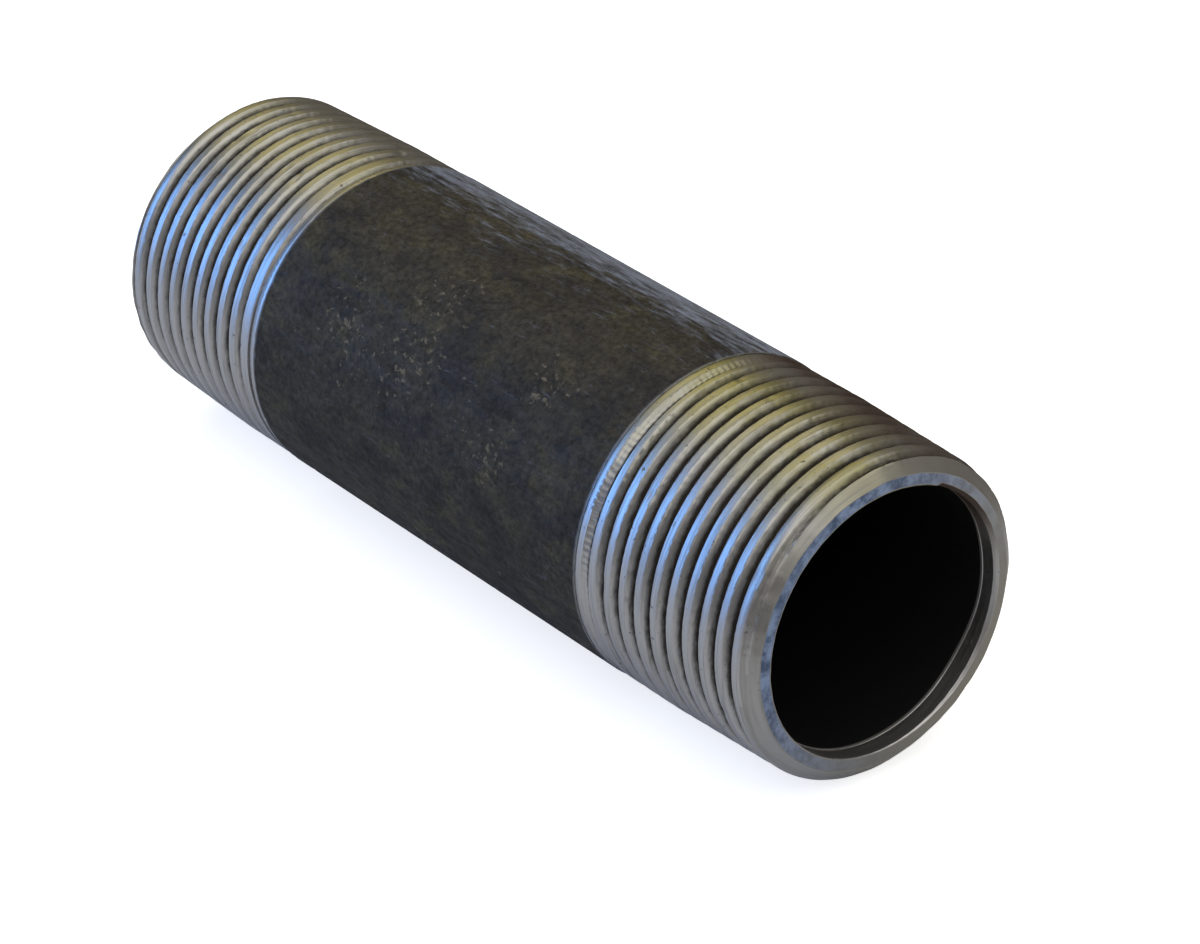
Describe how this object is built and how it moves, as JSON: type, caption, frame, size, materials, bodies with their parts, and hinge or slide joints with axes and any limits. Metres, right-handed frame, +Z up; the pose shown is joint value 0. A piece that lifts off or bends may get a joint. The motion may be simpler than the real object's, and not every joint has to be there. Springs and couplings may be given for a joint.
{
  "type": "pipe nipple",
  "caption": "Short black steel pipe with a plain barrel, an open bore and a right-hand taper thread cut on both ends.",
  "frame": {"origin": "middle of the pipe, on the axis of its bore", "axes": "+X along the pipe's axis to the front end face; +Z up as the nipple lies on its side; +Y completes the right-handed frame"},
  "size_m": [0.1, 0.0334, 0.0334],
  "materials": {
    "black_scale": "black mill scale, satin and slightly rough, with tan and rust specks",
    "cut_steel": "bare steel as cut by the threading die, lightly oiled"
  },
  "bodies": {
    "root": {"barrel": "black_scale", "thread_front": "cut_steel", "thread_back": "cut_steel"}
  },
  "joints": []
}
